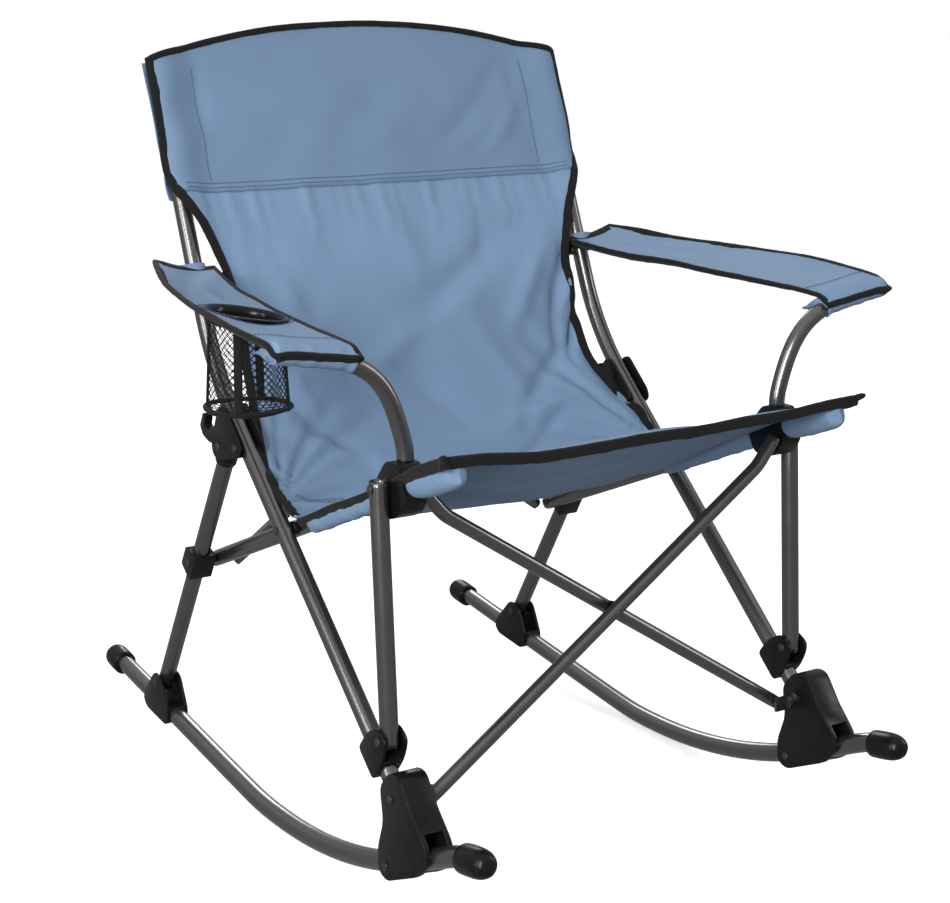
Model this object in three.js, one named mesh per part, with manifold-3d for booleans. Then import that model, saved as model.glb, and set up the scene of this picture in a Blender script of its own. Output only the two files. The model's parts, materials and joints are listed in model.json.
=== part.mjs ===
// Camp rocking chair: a folding tube frame on two curved runners, with a fabric sling, fabric arms and a
// net cup holder. Millimetres, +Z up, the sitter faces -Y, origin on the floor under the chair's middle.
// Each side frame is drawn once for +X (the sitter's left); the right one is its mirror image.
import * as THREE from "three";
import { mergeVertices } from "three/addons/utils/BufferGeometryUtils.js";
import Module from "manifold-3d";

const wasm = await Module();
wasm.setup();

// ---- driving dimensions ----
const SIDES = 12; // facets round a tube
const GROW = 1 / Math.cos(Math.PI / SIDES); // corner radius of a tube section over its flats
const TUBE_R = 11; // frame tube, measured to its flats
const BAR_R = 8.5; // cross bars
const WALL = 1.6;
const FIT = 0.4; // play between a bracket and the tube it wraps
const FRAME_X = 300; // plane of the runner, legs and strut
const RAIL_X = 271; // plane of the seat rail
const RAIL_HALF_WIDTH = 9;
const CHEEK_IN = 284.5; // bracket cheeks, inboard and outboard faces
const CHEEK_OUT = 315.5;
const CHEEK = 3.6; // cheek thickness
const CAP_R = 16; // rubber caps on the runner's ends
const SHARP = 0.01; // corner radius of a plate that only cuts

// Side-view points [y, z]: the pivots of the linkage, then the ends of its tubes.
const SEAT_PIVOT = [-52, 396];
const LEG_PIVOT = [89, 474];
const FOOT_PIVOT = [-320, 66.25];
const STRUT_TOP = [-284, 498];
const STRUT_FOOT = [-302, 209];
const COLLAR_PIVOT = [196.5, 295];
const LEG_FOOT = [320.6, 88];
const FRONT_LOW = [-325, 144];
const FRONT_HIGH = [-303, 487];
const REAR_HIGH = [176, 672];
const POST_FOOT = [-334, 138.7];
const POST_BEND = [128.3, 560.7];
const POST_TOP = [277, 935];
const POST_BEND_R = 350;
const RAIL_REAR = [206, 291];
const RAIL_FRONT = [-386, 534.6];

// Runner: an arc, then a straight rear stretch and a flatter nose.
const ROCKER_R = 815;
const ROCKER_Y = -25; // where the runner touches the floor
const ROCKER_STEP = 86;
const ROCKER_NOSE = [[-446, 124.5], [-480, 131]];
const ROCKER_TAIL = [[53, 14.3], [492, 73.3]];

// Cross bars: distance of each end from the mid-plane.
const BAR_LOW_X = 264;
const BAR_HIGH_X = 246;
const BAR_GAP = 1.5; // half the gap between two crossing bars
const BAR_END = 6; // tube past its pivot

// ---- small helpers ----
const point = (x, [y, z]) => new THREE.Vector3(x, y, z);

// Unit vector from a to b in the side view.
function direction(a, b) {
  const length = Math.hypot(b[0] - a[0], b[1] - a[1]);
  return [(b[0] - a[0]) / length, (b[1] - a[1]) / length];
}

// The side-view point `along` past a towards b, and `across` to the left of that direction.
function offset(a, b, along, across = 0) {
  const [dy, dz] = direction(a, b);
  return [a[0] + dy * along - dz * across, a[1] + dz * along + dy * across];
}

// A path through listed points, so that a sweep has one section at each of them.
class PointPath extends THREE.Curve {
  constructor(points) {
    super();
    this.points = points;
  }
  getPoint(t) {
    return this.points[Math.round(t * (this.points.length - 1))].clone();
  }
  getPointAt(u) {
    return this.getPoint(u);
  }
  getTangentAt(u) {
    const last = this.points.length - 1;
    const i = Math.round(u * last);
    const before = this.points[Math.max(i - 1, 0)];
    const here = this.points[i];
    const after = this.points[Math.min(i + 1, last)];
    const into = here.clone().sub(before).normalize();
    return into.add(after.clone().sub(here).normalize()).normalize();
  }
}

// Replaces the corner at b, between a and c, by an arc of the given radius.
function corner(a, b, c, radius, steps) {
  const toA = a.clone().sub(b).normalize();
  const toC = c.clone().sub(b).normalize();
  const half = toA.angleTo(toC) / 2;
  const tangent = radius / Math.tan(half);
  const centre = b.clone().addScaledVector(toA.clone().add(toC).normalize(), radius / Math.sin(half));
  const start = b.clone().addScaledVector(toA, tangent).sub(centre);
  const end = b.clone().addScaledVector(toC, tangent).sub(centre);
  const sweep = start.angleTo(end);
  return Array.from({ length: steps + 1 }, (_, i) => {
    const t = i / steps;
    return centre
      .clone()
      .addScaledVector(start, Math.sin((1 - t) * sweep) / Math.sin(sweep))
      .addScaledVector(end, Math.sin(t * sweep) / Math.sin(sweep));
  });
}

function polygon(halfX, halfY) {
  return Array.from({ length: SIDES }, (_, k) => {
    const angle = ((k + 0.5) * 2 * Math.PI) / SIDES;
    return new THREE.Vector2(halfX * GROW * Math.cos(angle), halfY * GROW * Math.sin(angle));
  });
}

// A tube, or a solid bar when wall is 0, through the points; halfX and halfY are its half widths.
function sweep(points, halfX, wall = WALL, halfY = halfX) {
  const shape = new THREE.Shape(polygon(halfX, halfY));
  if (wall) shape.holes.push(new THREE.Path(polygon(halfX - wall, halfY - wall).reverse()));
  const extrudePath = new PointPath(points);
  return new THREE.ExtrudeGeometry(shape, { steps: points.length - 1, extrudePath });
}

// A closed outline with each corner rounded off.
function roundedShape(outline, radius) {
  const shape = new THREE.Shape();
  const corners = outline.map(([a, b]) => new THREE.Vector2(a, b));
  corners.forEach((here, i) => {
    const before = corners[(i + corners.length - 1) % corners.length];
    const after = corners[(i + 1) % corners.length];
    const cut = Math.min(radius, here.distanceTo(before) * 0.45, here.distanceTo(after) * 0.45);
    const from = here.clone().lerp(before, cut / here.distanceTo(before));
    const to = here.clone().lerp(after, cut / here.distanceTo(after));
    if (i) shape.lineTo(from.x, from.y);
    else shape.moveTo(from.x, from.y);
    shape.quadraticCurveTo(here.x, here.y, to.x, to.y);
  });
  shape.closePath();
  return shape;
}

// A side-view outline [[y, z], ...] as a plate between two x planes.
function plate(outline, x0, x1, radius = SHARP) {
  const geometry = new THREE.ExtrudeGeometry(roundedShape(outline, radius), {
    depth: x1 - x0,
    bevelEnabled: false,
    curveSegments: radius > 1 ? 3 : 1,
  });
  const axes = new THREE.Matrix4().makeBasis(
    new THREE.Vector3(0, 1, 0),
    new THREE.Vector3(0, 0, 1),
    new THREE.Vector3(1, 0, 0),
  );
  return geometry.applyMatrix4(axes).translate(x0, 0, 0);
}

// A cylinder along x, centred on a side-view point.
function drum([y, z], x0, x1, radius) {
  const geometry = new THREE.CylinderGeometry(radius, radius, x1 - x0, 16);
  return geometry.rotateZ(Math.PI / 2).translate((x0 + x1) / 2, y, z);
}

function solid(geometry) {
  const bare = new THREE.BufferGeometry().setAttribute("position", geometry.getAttribute("position"));
  if (geometry.index) bare.setIndex(geometry.index);
  const merged = mergeVertices(bare, 1e-3);
  const mesh = new wasm.Mesh({
    numProp: 3,
    vertProperties: new Float32Array(merged.attributes.position.array),
    triVerts: new Uint32Array(merged.index.array),
  });
  return new wasm.Manifold(mesh);
}

function shaped(manifold) {
  const mesh = manifold.getMesh();
  return new THREE.BufferGeometry()
    .setAttribute("position", new THREE.BufferAttribute(new Float32Array(mesh.vertProperties), 3))
    .setIndex(new THREE.BufferAttribute(new Uint32Array(mesh.triVerts), 1));
}

// Joins the first list of geometries and cuts the second list out of them.
function combine(joined, cuts = []) {
  const start = joined.slice(1).reduce((sum, g) => sum.add(solid(g)), solid(joined[0]));
  return shaped(cuts.reduce((rest, g) => rest.subtract(solid(g)), start));
}

// ---- materials ----
const paint = new THREE.MeshStandardMaterial({ color: 0x55524e, roughness: 0.35, metalness: 0.6 });
const plastic = new THREE.MeshStandardMaterial({ color: 0x1c1c1d, roughness: 0.5, metalness: 0 });
const fabric = new THREE.MeshStandardMaterial({ color: 0x6484ad, roughness: 0.9, metalness: 0 });
const net = new THREE.MeshStandardMaterial({ color: 0x18181a, roughness: 0.85, metalness: 0 });

const chair = new THREE.Group();
function add(group, name, geometry, material) {
  const mesh = new THREE.Mesh(geometry, material);
  mesh.name = name;
  group.add(mesh);
}

// ---- the side frame's tubes ----
function rockerPoints() {
  // The floor touches the middle of one straight step of the polygon.
  const half = Math.asin(ROCKER_STEP / 2 / ROCKER_R);
  const centreZ = TUBE_R * Math.cos(half) + ROCKER_R * Math.cos(half);
  const onArc = (angle) => [ROCKER_Y + ROCKER_R * Math.sin(angle), centreZ - ROCKER_R * Math.cos(angle)];
  const arc = Array.from({ length: 6 }, (_, i) => onArc((2 * i - 9) * half));
  return [...ROCKER_NOSE.toReversed(), ...arc, ...ROCKER_TAIL].map((p) => point(FRAME_X, p));
}

function backPostPoints() {
  const [a, b, c] = [POST_FOOT, POST_BEND, POST_TOP].map((p) => point(FRAME_X, p));
  return [a, ...corner(a, b, c, POST_BEND_R, 6), c];
}

const legEnds = () => [
  point(FRAME_X, offset(LEG_PIVOT, LEG_FOOT, -10)),
  point(FRAME_X, offset(LEG_FOOT, LEG_PIVOT, -BAR_END)),
];
const strutEnds = () => [
  point(FRAME_X, offset(STRUT_TOP, STRUT_FOOT, -9)),
  point(FRAME_X, offset(STRUT_FOOT, STRUT_TOP, -8)),
];
const railEnds = () => [RAIL_REAR, RAIL_FRONT].map((p) => point(RAIL_X, p));

// The arm post stands on the rail's bracket, leans outward and turns into the arm's front pocket.
const ARM_POST = [
  [270, -292, 527.5],
  [270, -292, 540],
  [276, -292, 562],
  [286, -293, 592],
  [301, -294, 618],
  [322, -295, 636],
  [348, -295, 648],
  [388, -296, 656],
  [434, -297, 664],
];

// ---- brackets ----
// A channel behind the post, open to the front, whose two plates carry the leg's pivot and a strap hook.
function topBracket() {
  const along = (t, side) => offset(POST_BEND, POST_FOOT, t, side);
  const outline = [
    along(62, -14), along(122, -14), [25, 478], [31, 470], [48, 467], [70, 460],
    [92, 456], [105, 463], [107, 477], [99, 496], [86, 524],
  ].toReversed();
  const bore = sweep(backPostPoints(), TUBE_R + FIT, 0);
  const front = [along(0, 0), along(200, 0), along(200, -60), along(0, -60)].toReversed();
  const rear = [along(200, 15), along(0, 15), along(0, 200), along(200, 200)].toReversed();
  const open = [front, rear].map((slot) => plate(slot, CHEEK_IN + 1.3, CHEEK_OUT - 1.3));
  const channel = combine([plate(outline, CHEEK_IN - 2, CHEEK_OUT + 2, 7)], [bore, ...open]);
  // The hook's root is only as thick as the outer plate, to pass the leg's cap.
  const tip = [[132, 481], [140, 492], [130, 511], [123, 508], [127, 495], [116, 490]];
  const root = [[96, 500], [98, 476], [114, 475], ...tip].toReversed();
  const wide = [[110, 492], [110, 477], ...tip].toReversed();
  const hook = [plate(root, CHEEK_OUT - 1.3, CHEEK_OUT + 2, 3), plate(wide, CHEEK_OUT - 9, CHEEK_OUT + 2, 3)];
  return combine([channel, ...hook]);
}

function legCap() {
  const [a, b] = [-13, 27].map((t) => point(FRAME_X, offset(LEG_PIVOT, LEG_FOOT, t)));
  return combine([sweep([a, b], 13.6, 0)], [sweep(legEnds(), TUBE_R + 0.3, 0)]);
}

function footBracket() {
  const outline = [
    [-352, 186], [-330, 184], [-309, 160], [-316, 120], [-303, 84], [-304, 56],
    [-322, 49], [-392, 82], [-412, 104], [-406, 122], [-378, 150],
  ].toReversed();
  const arch = [[-290, 94], [-330, 98], [-372, 118], [-430, 152], [-430, 0], [-290, 0]];
  const post = backPostPoints();
  const bore = sweep([post[0], post[1]], TUBE_R + 0.3, 0);
  return combine(
    [plate(outline, CHEEK_IN - 2.5, CHEEK_OUT + 2.5, 10)],
    [bore, plate(arch, CHEEK_IN + CHEEK, CHEEK_OUT - CHEEK)],
  );
}

function strutCollar() {
  const along = (t, side) => offset(POST_FOOT, POST_BEND, t, side);
  const [dy, dz] = direction(POST_FOOT, POST_BEND);
  const at = (STRUT_FOOT[0] - POST_FOOT[0]) * dy + (STRUT_FOOT[1] - POST_FOOT[1]) * dz;
  const outline = [
    along(at - 24, -15), along(at + 20, -15), along(at + 22, 15), along(at + 14, 40),
    along(at - 8, 45), along(at - 16, 34), along(at - 22, 15),
  ];
  const post = backPostPoints();
  const slot = [along(at - 50, 15), along(at + 50, 15), along(at + 50, 80), along(at - 50, 80)];
  return combine(
    [plate(outline, CHEEK_IN, CHEEK_OUT, 7)],
    [sweep([post[0], post[1]], TUBE_R + FIT, 0), plate(slot, CHEEK_IN + CHEEK, CHEEK_OUT - CHEEK)],
  );
}

function rearCollar() {
  const along = (t, side) => offset(COLLAR_PIVOT, LEG_FOOT, t, side);
  const outline = [along(-20, -15.5), along(20, -15.5), along(16, 15.5), along(-16, 15.5)];
  return combine([plate(outline, CHEEK_IN, CHEEK_OUT, 4)], [sweep(legEnds(), TUBE_R + FIT, 0)]);
}

function rockerSaddle() {
  const tail = rockerPoints().slice(-2);
  const outline = [[282, 54], [290, 34], [356, 42], [366, 52], [362, 64], [338, 90], [324, 104], [304, 100]];
  const [from, to] = tail.map((p) => [p.y, p.z]);
  const above = (t, side) => offset(from, to, t, side);
  const slot = [above(0, 15), above(500, 15), above(500, 200), above(0, 200)];
  return combine(
    [plate(outline, CHEEK_IN, CHEEK_OUT, 9)],
    [sweep(tail, TUBE_R + FIT, 0), plate(slot, CHEEK_IN + CHEEK, CHEEK_OUT - CHEEK)],
  );
}

function frontBracket() {
  const along = (t, side) => offset(SEAT_PIVOT, RAIL_FRONT, t, side);
  const outline = [
    along(222, -14), along(222, 16), along(238, 30), along(266, 30), along(284, 16), along(284, -14),
    [-305, ARM_POST[0][2] - 0.5], [-279, ARM_POST[0][2] - 0.5],
  ];
  const bore = sweep(railEnds(), RAIL_HALF_WIDTH + FIT, 0, TUBE_R + FIT);
  return combine([plate(outline, 258.5, 287.8, 8)], [bore]);
}

// A rubber cap over the end of a tube: a sleeve with a rounded, closed nose past the tube's end.
function endCap(end, inner, nose, radius, boreRadius, length) {
  const axis = inner.clone().sub(end).normalize();
  const tip = end.clone().addScaledVector(axis, -nose);
  const bore = (boreRadius * GROW + 0.3) * GROW;
  const floor = nose - 0.3;
  const profile = [
    [0, 0], [radius * 0.6, nose * 0.06], [radius * 0.9, nose * 0.35], [radius, nose * 0.8],
    [radius, length], [bore, length], [bore, floor], [0, floor],
  ];
  const cap = new THREE.LatheGeometry(profile.map(([r, t]) => new THREE.Vector2(r, t)), 16);
  const turn = new THREE.Quaternion().setFromUnitVectors(new THREE.Vector3(0, 1, 0), axis);
  return combine([cap.applyQuaternion(turn).translate(tip.x, tip.y, tip.z)]);
}

// ---- cross bars ----
// The plane of a pair of bars: along +X, and from one side-view point to another.
function barPlane(low, high) {
  const [vy, vz] = direction(low, high);
  const normal = new THREE.Vector3(0, -vz, vy);
  const height = Math.hypot(high[0] - low[0], high[1] - low[1]);
  const at = (x, v, n) => point(x, offset(low, high, v)).addScaledVector(normal, n);
  return { at, height };
}

function frontBar(face) {
  const { at, height } = barPlane(FRONT_LOW, FRONT_HIGH);
  const n = face * (BAR_R + BAR_GAP);
  const slope = height / 2 / BAR_LOW_X;
  const [kneeX, kneeV] = [-222, height / 2 + 222 * slope];
  const a = at(BAR_LOW_X + BAR_END * 0.85, -BAR_END * 0.5, n);
  const knee = at(kneeX, kneeV, n);
  const top = at(-BAR_HIGH_X - 3, height + 5, n);
  return sweep([a, ...corner(a, knee, top, 70, 4), top], BAR_R);
}

function rearBar(face) {
  const { at, height } = barPlane(REAR_HIGH, COLLAR_PIVOT);
  const n = face * (BAR_R + BAR_GAP);
  const slope = height / (BAR_LOW_X + BAR_HIGH_X);
  const a = at(BAR_LOW_X + BAR_END, -BAR_END * slope, n);
  return sweep([a, at(-BAR_HIGH_X - BAR_END, height + BAR_END * slope, n)], BAR_R);
}

// The strap turns about x at the frame and carries the bar's pivot on its tongue.
function strap(low, high, xFrame, face) {
  const { at } = barPlane(low, high);
  const tongue = (n) => [
    [BAR_LOW_X - 9, -9], [xFrame, -9], [xFrame, 9], [BAR_LOW_X - 9, 9],
  ].map(([x, v]) => at(x, v, n));
  const near = tongue(0);
  const depth = at(0, 0, -face * 4).sub(at(0, 0, 0));
  const box = new THREE.BoxGeometry(1, 1, 1);
  const width = near[1].clone().sub(near[0]);
  const tall = near[3].clone().sub(near[0]);
  const middle = near[0].clone().add(near[2]).multiplyScalar(0.5).addScaledVector(depth, 0.5);
  const basis = new THREE.Matrix4().makeBasis(width, tall, depth).setPosition(middle);
  box.applyMatrix4(basis);
  if (basis.determinant() < 0) {
    const turned = box.index.array;
    for (let i = 0; i < turned.length; i += 3) [turned[i], turned[i + 1]] = [turned[i + 1], turned[i]];
  }
  return combine([box, drum(low, xFrame - 6, xFrame, 9.5)]);
}

function crossWasher(low, high) {
  const { at, height } = barPlane(low, high);
  const washer = new THREE.CylinderGeometry(9, 9, 2 * BAR_GAP - 0.6, 16);
  const centre = at(0, height / 2, 0);
  const normal = at(0, 0, 1).sub(at(0, 0, 0));
  const turn = new THREE.Quaternion().setFromUnitVectors(new THREE.Vector3(0, 1, 0), normal);
  return washer.applyQuaternion(turn).translate(centre.x, centre.y, centre.z);
}

// ---- fabric, as plain closed solids ----
const ARM_OUTLINE = [[333, -282], [440, -284], [442, -180], [425, -75], [400, 25], [347, 186], [314.5, 186], [316, 60]];
const ARM_THICK = 5;
const CUP_CENTRE = [378, -125]; // drawn for +X, as the arm is
const ARM_SIDE_SLOPE = 0.16;
const ARM_REAR_SLOPE = 0.055;
const armTop = (x, y) => 660 + (x - 331) * ARM_SIDE_SLOPE + (y + 292) * ARM_REAR_SLOPE;

function armPanel(withHole) {
  const shape = new THREE.Shape(ARM_OUTLINE.map(([x, y]) => new THREE.Vector2(x, y)));
  const flat = new THREE.ExtrudeGeometry(shape, { depth: ARM_THICK, bevelEnabled: false });
  const hole = new THREE.CylinderGeometry(49, 49, 40, 24).rotateX(Math.PI / 2);
  const cut = combine([flat], withHole ? [hole.translate(...CUP_CENTRE, 0)] : []);
  const place = cut.getAttribute("position");
  for (let i = 0; i < place.count; i++) {
    place.setZ(i, armTop(place.getX(i), place.getY(i)) + place.getZ(i) - ARM_THICK);
  }
  return cut;
}

const cupZ = armTop(...CUP_CENTRE);

function lathe(profile, segments) {
  const points = profile.map(([r, z]) => new THREE.Vector2(r, z));
  return combine([new THREE.LatheGeometry(points, segments).rotateX(Math.PI / 2)]);
}

function cupRing() {
  const ring = lathe([[40, -4], [46, -5], [48, -1], [46, 3], [41, 3], [40, -4]], 24);
  ring.rotateY(-Math.atan(ARM_SIDE_SLOPE)).rotateX(Math.atan(ARM_REAR_SLOPE));
  return ring.translate(...CUP_CENTRE, cupZ);
}

function cupNet() {
  const depth = 108;
  const profile = [
    [0, -depth], [44, -depth], [49, -depth + 5], [45, -14],
    [42.5, -14], [46.5, -depth + 7], [43, -depth + 2.5], [0, -depth + 2.5],
  ];
  return lathe(profile, 20).translate(...CUP_CENTRE, cupZ);
}

const CLOTH_THICK = 5;

// A sheet of cloth that hangs along a side-view line, trimmed to an outline seen from the front or above.
function cloth(line, outline, fromAbove) {
  const face = (out) => line.map((p, i) => {
    const [dy, dz] = direction(line[Math.max(i - 1, 0)], line[Math.min(i + 1, line.length - 1)]);
    return [p[0] - dz * out, p[1] + dy * out];
  });
  const sheet = plate([...face(-CLOTH_THICK / 2), ...face(CLOTH_THICK / 2).toReversed()], -340, 340);
  const shape = new THREE.Shape(outline.map(([x, v]) => new THREE.Vector2(x, v)));
  const window = new THREE.ExtrudeGeometry(shape, { depth: 1400, bevelEnabled: false });
  if (fromAbove) window.translate(0, 0, -200);
  else window.rotateX(Math.PI / 2).translate(0, 700, 0);
  return shaped(solid(sheet).intersect(solid(window)));
}

// Half an outline and its mirror image.
const both = (half) => [...half, ...half.toReversed().map(([x, v]) => [-x, v])];

function slingBack() {
  const line = [[-22, 382], [8, 412], [68, 496], [112, 590], [150, 680], [205, 772], [217, 792], [277, 935], [306, 1010]];
  const top = [[0, 995]];
  const half = [[150, 984], [250, 962], [286, 950], [286, 765], [262, 700], [246, 600], [246, 380]];
  return cloth(line, [...top, ...both(half)], false);
}

function slingSeat() {
  const line = [[-24, 378], [-90, 385], [-190, 424], [-300, 501], [-392, 550]];
  return cloth(line, both([[236, 0], [236, -396]]), true);
}

// ---- assembly ----
function sideFrame(name, sign) {
  const side = new THREE.Group();
  side.scale.x = sign;
  chair.add(side);
  const put = (part, geometry, material) => add(side, name + "_" + part, geometry, material);
  const rocker = rockerPoints();
  const rail = railEnds();

  put("back_post", sweep(backPostPoints(), TUBE_R), paint);
  put("top_bracket", topBracket(), plastic);
  put("foot_bracket", footBracket(), plastic);
  put("rear_leg", sweep(legEnds(), TUBE_R), paint);
  put("rear_leg_cap", legCap(), plastic);
  put("rear_collar", rearCollar(), plastic);
  put("rear_collar_washer", drum(COLLAR_PIVOT, 280.4, 284.1, 10), plastic);
  put("seat_rail", sweep(rail, RAIL_HALF_WIDTH, WALL, TUBE_R), paint);
  put("rail_front_cap", endCap(rail[1], rail[0], 6, 13.6, TUBE_R, 24), plastic);
  put("seat_pivot_washer", drum(SEAT_PIVOT, 280.4, 288.7, 9), plastic);
  put("front_bracket", frontBracket(), plastic);
  put("strut", sweep(strutEnds(), TUBE_R), paint);
  put("strut_collar", strutCollar(), plastic);
  put("rocker", sweep(rocker, TUBE_R), paint);
  put("rocker_front_cap", endCap(rocker[0], rocker[1], 28, CAP_R, TUBE_R, 46), plastic);
  put("rocker_rear_cap", endCap(rocker.at(-1), rocker.at(-2), 16, CAP_R, TUBE_R, 40), plastic);
  put("rocker_saddle", rockerSaddle(), plastic);
  put("arm_post", sweep(ARM_POST.map((p) => new THREE.Vector3(...p)), TUBE_R - 1), paint);
  put("arm_panel", armPanel(sign < 0), fabric);
  put("front_strap", strap(FRONT_LOW, FRONT_HIGH, 281.6, -sign), paint);
  put("front_cross_bar", frontBar(-sign), paint);
  put("rear_strap", strap(REAR_HIGH, COLLAR_PIVOT, 288.5, -sign), paint);
  put("rear_cross_bar", rearBar(-sign), paint);
  return side;
}

sideFrame("left", 1);
const right = sideFrame("right", -1);
add(right, "cup_ring", cupRing(), plastic);
add(right, "cup_net", cupNet(), net);
add(chair, "front_cross_washer", crossWasher(FRONT_LOW, FRONT_HIGH), plastic);
add(chair, "rear_cross_washer", crossWasher(REAR_HIGH, COLLAR_PIVOT), plastic);
add(chair, "sling_back", slingBack(), fabric);
add(chair, "sling_seat", slingSeat(), fabric);

export default chair;
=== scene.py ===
"""Looks of the camp rocking chair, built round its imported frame.

Painted tubes, moulded joints and rivets, the fabric sling and arms with taped edges and
stitching, and the net cup holder.

+Z is up. The sitter faces -Y and sits on the plane x = 0, with the cup holder at the right
hand, -X. Shapes are worked out in millimetres and scaled by MM. The fabric's outlines are listed
for the left side and mirrored; the folds of the sling are listed for both sides.
"""

import json
import math

import bmesh
import bpy
import numpy as np
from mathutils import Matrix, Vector, geometry


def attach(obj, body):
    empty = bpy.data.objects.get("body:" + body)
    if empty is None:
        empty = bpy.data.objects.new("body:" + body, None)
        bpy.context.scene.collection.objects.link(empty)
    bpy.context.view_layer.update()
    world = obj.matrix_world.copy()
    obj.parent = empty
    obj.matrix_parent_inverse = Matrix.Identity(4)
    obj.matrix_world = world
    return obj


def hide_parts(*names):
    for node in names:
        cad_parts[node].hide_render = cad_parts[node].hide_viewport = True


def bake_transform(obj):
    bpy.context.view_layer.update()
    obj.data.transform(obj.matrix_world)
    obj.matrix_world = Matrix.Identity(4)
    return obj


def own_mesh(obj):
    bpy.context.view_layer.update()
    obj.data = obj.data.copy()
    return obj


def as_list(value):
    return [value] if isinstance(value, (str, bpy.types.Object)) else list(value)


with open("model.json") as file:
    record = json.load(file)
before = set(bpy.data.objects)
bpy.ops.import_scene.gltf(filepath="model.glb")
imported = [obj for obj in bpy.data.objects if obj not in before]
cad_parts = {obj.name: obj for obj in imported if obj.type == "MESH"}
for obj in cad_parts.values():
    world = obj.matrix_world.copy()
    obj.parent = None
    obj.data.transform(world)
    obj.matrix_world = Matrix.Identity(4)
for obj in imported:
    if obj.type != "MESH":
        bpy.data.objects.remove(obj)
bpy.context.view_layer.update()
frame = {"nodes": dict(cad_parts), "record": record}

MM = 0.001
SIDES = {"right": -1.0, "left": 1.0}

# Frame tubes, side view, as in the CAD part.
FRAME_X = 300
RAIL_X = 271
SEAT_PIVOT = (-52, 396)
RAIL_FRONT = (-386, 534.6)
POST_BEND = (128.3, 560.7)
POST_TOP = (277, 935)
CUP_CENTRE = (-378, -125)
CUP_DEPTH = 108
CUP_HOLE_RADIUS = 43.5
CUP_STITCH_RADIUS = 53
STITCH_LIFT = 1.4
UP = np.array([0, 0, 1.0])
# The head panel starts at this height, where the sling back is sewn to it.
HEAD_SEAM_Z = 784


# ---- curves and meshes ----
def unit(vectors):
    vectors = np.asarray(vectors, float)
    return vectors / np.maximum(np.linalg.norm(vectors, axis=-1, keepdims=True), 1e-12)


def through(points, count):
    """count points on a smooth curve through the given ones, ends included."""
    p = np.asarray(points, float)
    p = np.vstack([2 * p[0] - p[1], p, 2 * p[-1] - p[-2]])
    t = np.linspace(0, len(p) - 3 - 1e-9, count)
    i = t.astype(int)
    f = (t - i)[:, None]
    a, b, c, d = p[i], p[i + 1], p[i + 2], p[i + 3]
    even = 2 * b + (2 * a - 5 * b + 4 * c - d) * f**2
    odd = (c - a) * f + (3 * b - a - 3 * c + d) * f**3
    return 0.5 * (even + odd)


def lengths(path):
    """Distance along a path at each of its points."""
    steps = np.linalg.norm(np.diff(path, axis=0), axis=1)
    return np.concatenate([[0], np.cumsum(steps)])


def evenly(path, step):
    """Points at equal steps of about that length along a path."""
    path = np.asarray(path, float)
    s = lengths(path)
    at = np.linspace(0, s[-1], max(2, int(round(s[-1] / step)) + 1))
    return np.stack([np.interp(at, s, path[:, k]) for k in range(3)], axis=1)


def tangents(path, closed=False):
    if closed:
        return unit(np.roll(path, -1, axis=0) - np.roll(path, 1, axis=0))
    return unit(np.gradient(path, axis=0))


def waves(x, wavelengths, seed):
    """A smooth uneven line from about -1 to 1: sines of those wavelengths, their phases fixed."""
    phases = np.random.default_rng(seed).uniform(0, 2 * math.pi, len(wavelengths))
    total = sum(np.sin(2 * math.pi * x / w + p) for w, p in zip(wavelengths, phases))
    return total / len(wavelengths)


def grid_faces(rows, columns, loop=False, ring=False):
    """Quads between rows x columns vertices; loop joins the end columns, and ring the end rows."""
    faces = []
    for r in range(rows if ring else rows - 1):
        for c in range(columns if loop else columns - 1):
            r2, c2 = (r + 1) % rows, (c + 1) % columns
            near, far = r * columns, r2 * columns
            faces.append((near + c, near + c2, far + c2, far + c))
    return faces


def mesh_piece(name, vertices, faces, material, uvs=None):
    """A smooth-shaded object from vertices in millimetres; uvs are metres of cloth or tape."""
    mesh = bpy.data.meshes.new(name)
    mesh.from_pydata((np.asarray(vertices, float) * MM).tolist(), [], faces)
    mesh.validate()
    mesh.shade_smooth()
    if uvs is not None:
        corners = np.zeros(len(mesh.loops), np.int32)
        mesh.loops.foreach_get("vertex_index", corners)
        layer = mesh.uv_layers.new(name="cloth")
        layer.data.foreach_set("uv", np.asarray(uvs, float)[corners].ravel())
    mesh.materials.append(material)
    piece = bpy.data.objects.new(name, mesh)
    bpy.context.scene.collection.objects.link(piece)
    return piece


def skin(name, sections, material, ring=False):
    """A skin with capped ends through closed sections, (path points, section points, 3)."""
    rows, columns = sections.shape[:2]
    faces = grid_faces(rows, columns, loop=True, ring=ring)
    if not ring:
        last = (rows - 1) * columns
        faces += [tuple(range(columns))[::-1], tuple(last + c for c in range(columns))]
    around = np.linalg.norm(sections - np.roll(sections, 1, axis=1), axis=2).mean(0).cumsum()
    along = lengths(sections.mean(1))
    uvs = np.stack([np.tile(around, rows), np.repeat(along, columns)], axis=1) * MM
    piece = mesh_piece(name, sections.reshape(-1, 3), faces, material, uvs)
    tidy_normals(piece)
    return piece


def tidy_normals(piece):
    shape = bmesh.new()
    shape.from_mesh(piece.data)
    bmesh.ops.recalc_face_normals(shape, faces=shape.faces)
    shape.to_mesh(piece.data)
    shape.free()


def tube(name, path, radius, material, sides=10, ring=False, flat=1.0, across=(0, 0, 1)):
    """A round or flattened tube along a path; flat scales its width across the given direction."""
    path = np.asarray(path, float)
    t = tangents(path, ring)
    side = unit(np.cross(t, np.asarray(across, float)))
    up = np.cross(side, t)
    angles = np.linspace(0, 2 * math.pi, sides, endpoint=False)
    radius = np.broadcast_to(radius, (len(path),))[:, None, None]
    cos, sin = np.cos(angles)[None, :, None], np.sin(angles)[None, :, None]
    around = side[:, None] * cos + flat * up[:, None] * sin
    return skin(name, path[:, None] + radius * around, material, ring)


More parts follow.
